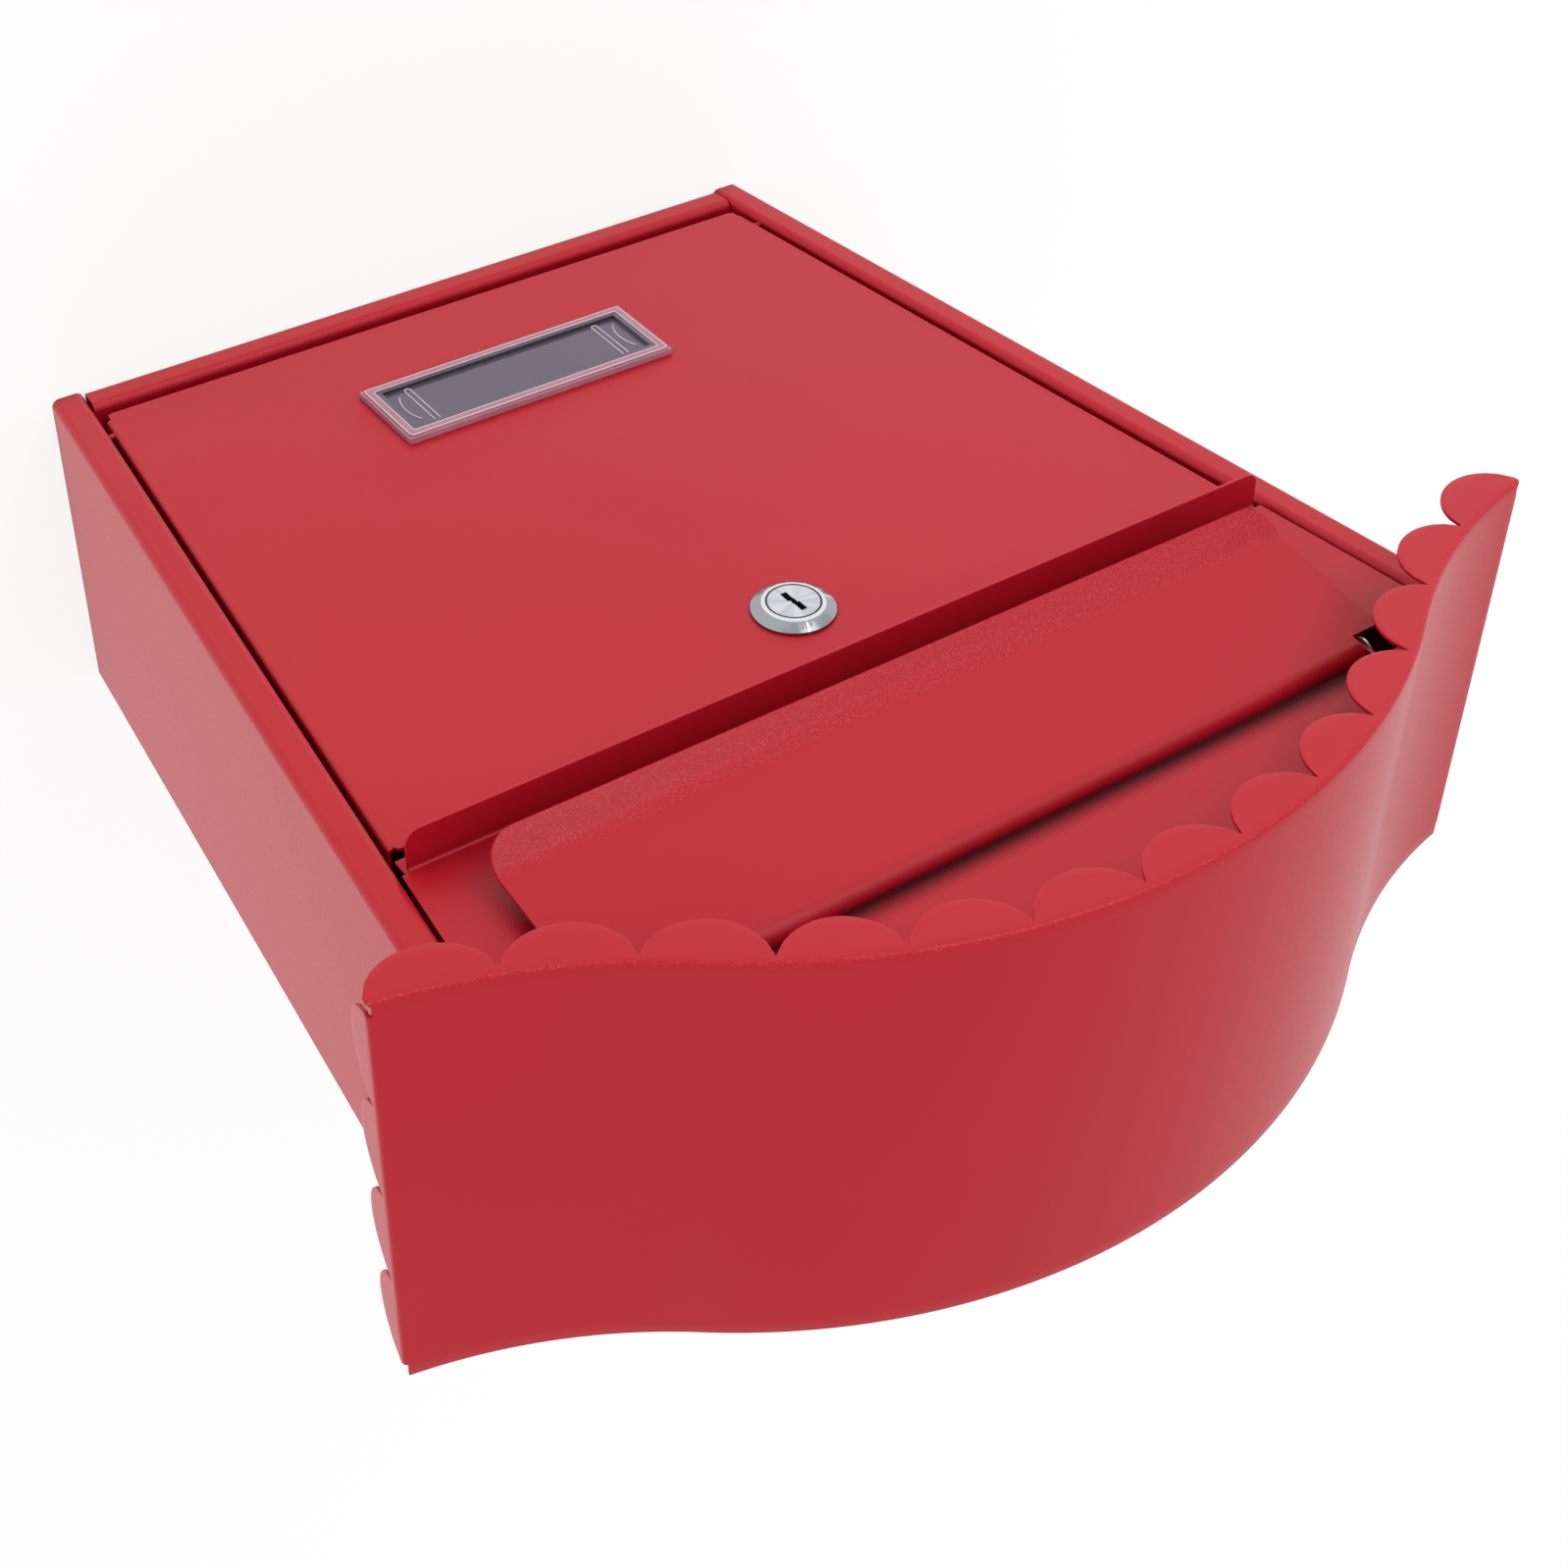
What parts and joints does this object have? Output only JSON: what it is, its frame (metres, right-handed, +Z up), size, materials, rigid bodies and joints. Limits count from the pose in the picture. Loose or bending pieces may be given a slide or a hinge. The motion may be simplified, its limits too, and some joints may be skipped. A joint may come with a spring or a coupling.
{
  "type": "wall mailbox",
  "caption": "Wall mailbox of red painted sheet steel with a bell-shaped scalloped roof, a letter flap, a bottom-hinged door with a cam lock and a clear name holder.",
  "frame": {"origin": "centre of the part's bounding box at the level of the body's flat bottom", "axes": "+Z up as it hangs on a wall, -Y out of the front with the flap and the door, +Y into the wall, +X across the front"},
  "size_m": [0.364, 0.13, 0.367],
  "materials": {
    "paint": "satin red powder coat with a fine orange-peel texture",
    "steel": "bright zinc-plated wire",
    "chrome": "turned and chrome plated, with fine radial glints",
    "plug": "satin chrome with fine circular turning marks",
    "zinc": "plain zinc-plated steel",
    "clear": "clear moulded plastic"
  },
  "bodies": {
    "box": {"casing": "paint", "bottom_panel": "paint", "front_panel": "paint", "cross_rail": "paint", "hinge_brackets": "paint", "roof": "paint", "flap_rod": "steel", "rod_clips": "steel", "door_pins": "steel"},
    "flap": {"flap": "paint"},
    "door": {"door": "paint", "lock_housing": "chrome", "lock_nut": "zinc", "name_holder": "clear"},
    "plug": {"lock_plug": "plug", "cam": "zinc", "cam_washer": "zinc", "cam_screw": "zinc"}
  },
  "joints": [
    {"name": "door_hinge", "type": "hinge", "parent": "box", "child": "door", "pos_m": [0, -0.03705, 0.0236], "axis": [1, 0, 0], "range_deg": [0, 150]},
    {"name": "flap_hinge", "type": "hinge", "parent": "box", "child": "flap", "pos_m": [0, -0.035, 0.304], "axis": [-1, 0, 0], "range_deg": [0, 60]},
    {"name": "lock_turn", "type": "hinge", "parent": "door", "child": "plug", "pos_m": [0, -0.04, 0.206], "axis": [0, -1, 0], "range_deg": [0, 90]}
  ]
}
